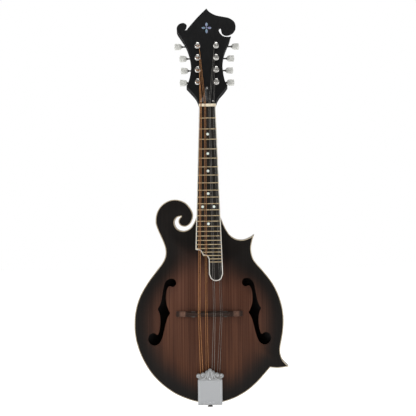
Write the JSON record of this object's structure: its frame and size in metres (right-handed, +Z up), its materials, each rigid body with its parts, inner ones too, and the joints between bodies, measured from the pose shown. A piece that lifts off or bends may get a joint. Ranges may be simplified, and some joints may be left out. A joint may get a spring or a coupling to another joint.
{
  "type": "mandolin",
  "caption": "Scroll-bodied mandolin with an arched f-hole top, scrolled headstock, geared tuners, strings in pairs, height-adjustable bridge and a tailpiece whose cover slides off.",
  "frame": {"origin": "on the centreline, at the edge of the nut that the strings leave, on the fretboard's surface, where a hanger's yoke takes the neck", "axes": "+Z up along the hanging instrument, square to it -Y out of the strings towards the player's right hand, +X towards the treble side"},
  "size_m": [0.2604, 0.1204, 0.6864],
  "materials": {
    "top_finish": "satin sunburst, dark brown going to black at the edge",
    "body_finish": "satin dark brown",
    "neck_finish": "satin dark brown",
    "binding": "cream, satin",
    "inner_wood": "bare mahogany",
    "tone_bar_spruce": "bare spruce",
    "headstock_black": "black, satin",
    "ebony": "oiled",
    "rosewood": "oiled",
    "bone": "polished bone",
    "black_plastic": "gloss",
    "pearl": "pearloid",
    "nickel": "nickel plated",
    "tailpiece_metal": "nickel plated, pressed",
    "steel": "plain",
    "plain_steel": "drawn wire",
    "wound_bronze": "phosphor-bronze winding"
  },
  "bodies": {
    "instrument": {"soundboard": "top_finish", "back_plate": "body_finish", "rim": "body_finish", "top_binding": "binding", "back_binding": "binding", "top_lining": "inner_wood", "back_lining": "inner_wood", "neck_block": "inner_wood", "tail_block": "inner_wood", "upper_point_block": "inner_wood", "lower_point_block": "inner_wood", "tone_bar_bass": "tone_bar_spruce", "tone_bar_treble": "tone_bar_spruce", "neck": "neck_finish", "headstock_veneer": "headstock_black", "truss_rod": "steel", "truss_rod_nut": "nickel", "truss_rod_cover": "black_plastic", "fretboard": "ebony", "fretboard_binding": "binding", "fretboard_riser": "body_finish", "nut": "bone", "tailpiece_base": "nickel", "end_pin": "black_plastic", "bridge_base": "rosewood", "bridge_stud_bass": "steel", "bridge_stud_treble": "steel", "tuner_plate_bass": "nickel", "tuner_plate_treble": "nickel", "string_g_outer": "wound_bronze", "string_g_inner": "wound_bronze", "string_d_outer": "wound_bronze", "string_d_inner": "wound_bronze", "string_a_inner": "plain_steel", "string_a_outer": "plain_steel", "string_e_inner": "plain_steel", "string_e_outer": "plain_steel"},
    "saddle": {"bridge_saddle": "rosewood"},
    "thumbwheel_bass": {"thumbwheel_bass": "nickel"},
    "thumbwheel_treble": {"thumbwheel_treble": "nickel"},
    "tailpiece_cover": {"tailpiece_cover": "tailpiece_metal"},
    "post_g_outer": {"tuner_post_g_outer": "nickel"},
    "button_g_outer": {"tuner_button_g_outer": "pearl"},
    "post_g_inner": {"tuner_post_g_inner": "nickel"},
    "button_g_inner": {"tuner_button_g_inner": "pearl"},
    "post_d_outer": {"tuner_post_d_outer": "nickel"},
    "button_d_outer": {"tuner_button_d_outer": "pearl"},
    "post_d_inner": {"tuner_post_d_inner": "nickel"},
    "button_d_inner": {"tuner_button_d_inner": "pearl"},
    "post_a_inner": {"tuner_post_a_inner": "nickel"},
    "button_a_inner": {"tuner_button_a_inner": "pearl"},
    "post_a_outer": {"tuner_post_a_outer": "nickel"},
    "button_a_outer": {"tuner_button_a_outer": "pearl"},
    "post_e_inner": {"tuner_post_e_inner": "nickel"},
    "button_e_inner": {"tuner_button_e_inner": "pearl"},
    "post_e_outer": {"tuner_post_e_outer": "nickel"},
    "button_e_outer": {"tuner_button_e_outer": "pearl"}
  },
  "joints": [
    {"name": "saddle_lift", "type": "slide", "parent": "instrument", "child": "saddle", "axis": [0, -1, 0], "range_m": [-0.001, 0.0025], "deforming": ["string_g_outer", "string_g_inner", "string_d_outer", "string_d_inner", "string_a_inner", "string_a_outer", "string_e_inner", "string_e_outer"]},
    {"name": "thumbwheel_bass_turn", "type": "hinge", "parent": "saddle", "child": "thumbwheel_bass", "pos_m": [-0.027, -0.03122, -0.35004], "axis": [0, -1, 0], "continuous": true},
    {"name": "thumbwheel_treble_turn", "type": "hinge", "parent": "saddle", "child": "thumbwheel_treble", "pos_m": [0.027, -0.03122, -0.35004], "axis": [0, -1, 0], "continuous": true},
    {"name": "tailpiece_cover_slide", "type": "slide", "parent": "instrument", "child": "tailpiece_cover", "axis": [0, -0.1621, 0.9868], "range_m": [0, 0.05]},
    {"name": "turn_g_outer", "type": "hinge", "parent": "instrument", "child": "button_g_outer", "pos_m": [-0.028, 0.03801, 0.0433], "axis": [-1, 0, 0], "continuous": true},
    {"name": "wind_g_outer", "type": "hinge", "parent": "instrument", "child": "post_g_outer", "pos_m": [-0.016, 0.03556, 0.03675], "axis": [0, 0.9367, -0.3502], "continuous": true},
    {"name": "turn_g_inner", "type": "hinge", "parent": "instrument", "child": "button_g_inner", "pos_m": [-0.028, 0.04607, 0.06485], "axis": [-1, 0, 0], "continuous": true},
    {"name": "wind_g_inner", "type": "hinge", "parent": "instrument", "child": "post_g_inner", "pos_m": [-0.016, 0.04362, 0.05829], "axis": [0, 0.9367, -0.3502], "continuous": true},
    {"name": "turn_d_outer", "type": "hinge", "parent": "instrument", "child": "button_d_outer", "pos_m": [-0.028, 0.05412, 0.08639], "axis": [-1, 0, 0], "continuous": true},
    {"name": "wind_d_outer", "type": "hinge", "parent": "instrument", "child": "post_d_outer", "pos_m": [-0.016, 0.05167, 0.07984], "axis": [0, 0.9367, -0.3502], "continuous": true},
    {"name": "turn_d_inner", "type": "hinge", "parent": "instrument", "child": "button_d_inner", "pos_m": [-0.028, 0.06218, 0.10794], "axis": [-1, 0, 0], "continuous": true},
    {"name": "wind_d_inner", "type": "hinge", "parent": "instrument", "child": "post_d_inner", "pos_m": [-0.016, 0.05973, 0.10138], "axis": [0, 0.9367, -0.3502], "continuous": true},
    {"name": "turn_a_inner", "type": "hinge", "parent": "instrument", "child": "button_a_inner", "pos_m": [0.028, 0.06218, 0.10794], "axis": [1, 0, 0], "continuous": true},
    {"name": "wind_a_inner", "type": "hinge", "parent": "instrument", "child": "post_a_inner", "pos_m": [0.016, 0.05973, 0.10138], "axis": [0, 0.9367, -0.3502], "continuous": true},
    {"name": "turn_a_outer", "type": "hinge", "parent": "instrument", "child": "button_a_outer", "pos_m": [0.028, 0.05412, 0.08639], "axis": [1, 0, 0], "continuous": true},
    {"name": "wind_a_outer", "type": "hinge", "parent": "instrument", "child": "post_a_outer", "pos_m": [0.016, 0.05167, 0.07984], "axis": [0, 0.9367, -0.3502], "continuous": true},
    {"name": "turn_e_inner", "type": "hinge", "parent": "instrument", "child": "button_e_inner", "pos_m": [0.028, 0.04607, 0.06485], "axis": [1, 0, 0], "continuous": true},
    {"name": "wind_e_inner", "type": "hinge", "parent": "instrument", "child": "post_e_inner", "pos_m": [0.016, 0.04362, 0.05829], "axis": [0, 0.9367, -0.3502], "continuous": true},
    {"name": "turn_e_outer", "type": "hinge", "parent": "instrument", "child": "button_e_outer", "pos_m": [0.028, 0.03801, 0.0433], "axis": [1, 0, 0], "continuous": true},
    {"name": "wind_e_outer", "type": "hinge", "parent": "instrument", "child": "post_e_outer", "pos_m": [0.016, 0.03556, 0.03675], "axis": [0, 0.9367, -0.3502], "continuous": true}
  ],
  "couplings": [
    {"joint": "thumbwheel_bass_turn", "follows": "saddle_lift", "rad_per_m": 8976},
    {"joint": "thumbwheel_treble_turn", "follows": "saddle_lift", "rad_per_m": 8976},
    {"joint": "wind_g_outer", "follows": "turn_g_outer", "ratio": 0.071429},
    {"joint": "wind_g_inner", "follows": "turn_g_inner", "ratio": 0.071429},
    {"joint": "wind_d_outer", "follows": "turn_d_outer", "ratio": 0.071429},
    {"joint": "wind_d_inner", "follows": "turn_d_inner", "ratio": 0.071429},
    {"joint": "wind_a_inner", "follows": "turn_a_inner", "ratio": 0.071429},
    {"joint": "wind_a_outer", "follows": "turn_a_outer", "ratio": 0.071429},
    {"joint": "wind_e_inner", "follows": "turn_e_inner", "ratio": 0.071429},
    {"joint": "wind_e_outer", "follows": "turn_e_outer", "ratio": 0.071429}
  ]
}
